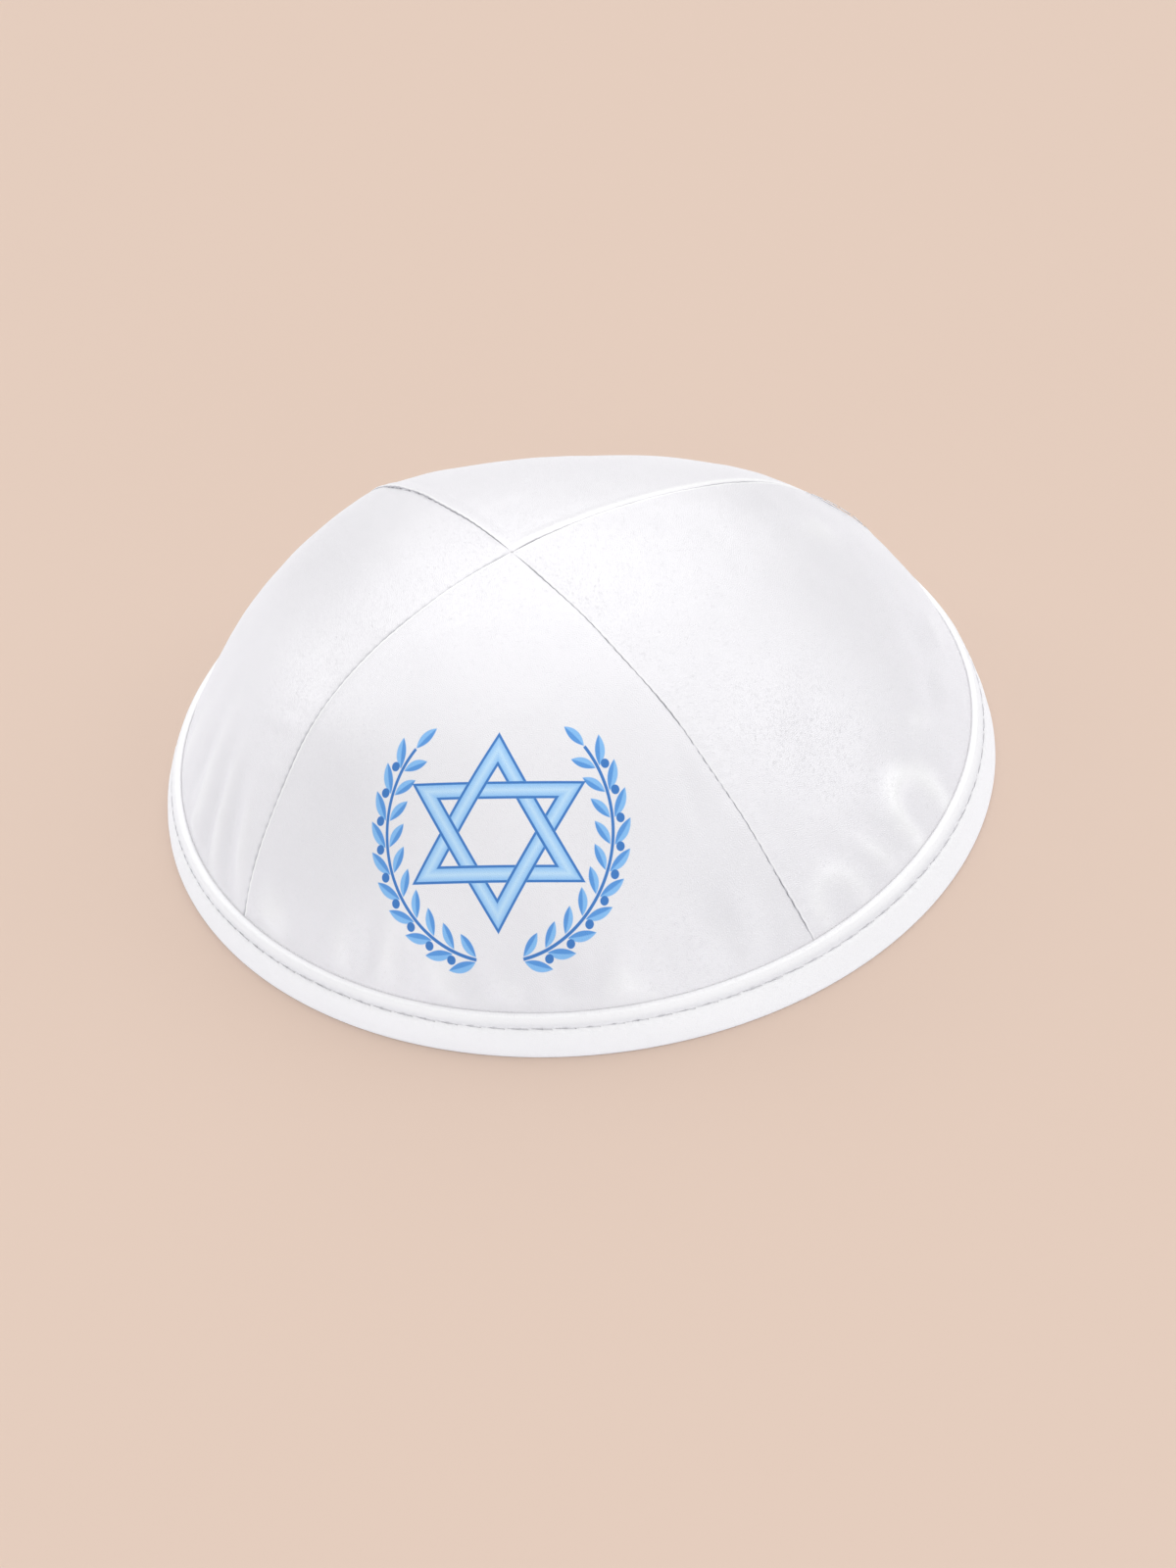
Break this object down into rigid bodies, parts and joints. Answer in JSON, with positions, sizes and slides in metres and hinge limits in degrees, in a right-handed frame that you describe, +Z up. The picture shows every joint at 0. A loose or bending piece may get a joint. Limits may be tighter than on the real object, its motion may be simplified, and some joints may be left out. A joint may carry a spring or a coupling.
{
  "type": "kippah skullcap",
  "caption": "Domed satin skullcap sewn from wedge-shaped cloth gores, with a folded and topstitched binding round its rim.",
  "frame": {"origin": "middle of the rim on the plane that the cap rests on", "axes": "+Z up through the crown, -Y towards the front gore, +X towards the right gore as seen from the front"},
  "size_m": [0.1695, 0.1695, 0.0577],
  "materials": {
    "gore_satin_lit": "white satin weave with a soft sheen",
    "gore_satin_cool": "white satin weave with a soft sheen",
    "binding_satin": "white satin strip on the bias, topstitched"
  },
  "bodies": {
    "root": {"gore_front": "gore_satin_lit", "gore_right": "gore_satin_lit", "gore_back": "gore_satin_cool", "gore_left": "gore_satin_cool", "rim_binding": "binding_satin"}
  },
  "joints": []
}
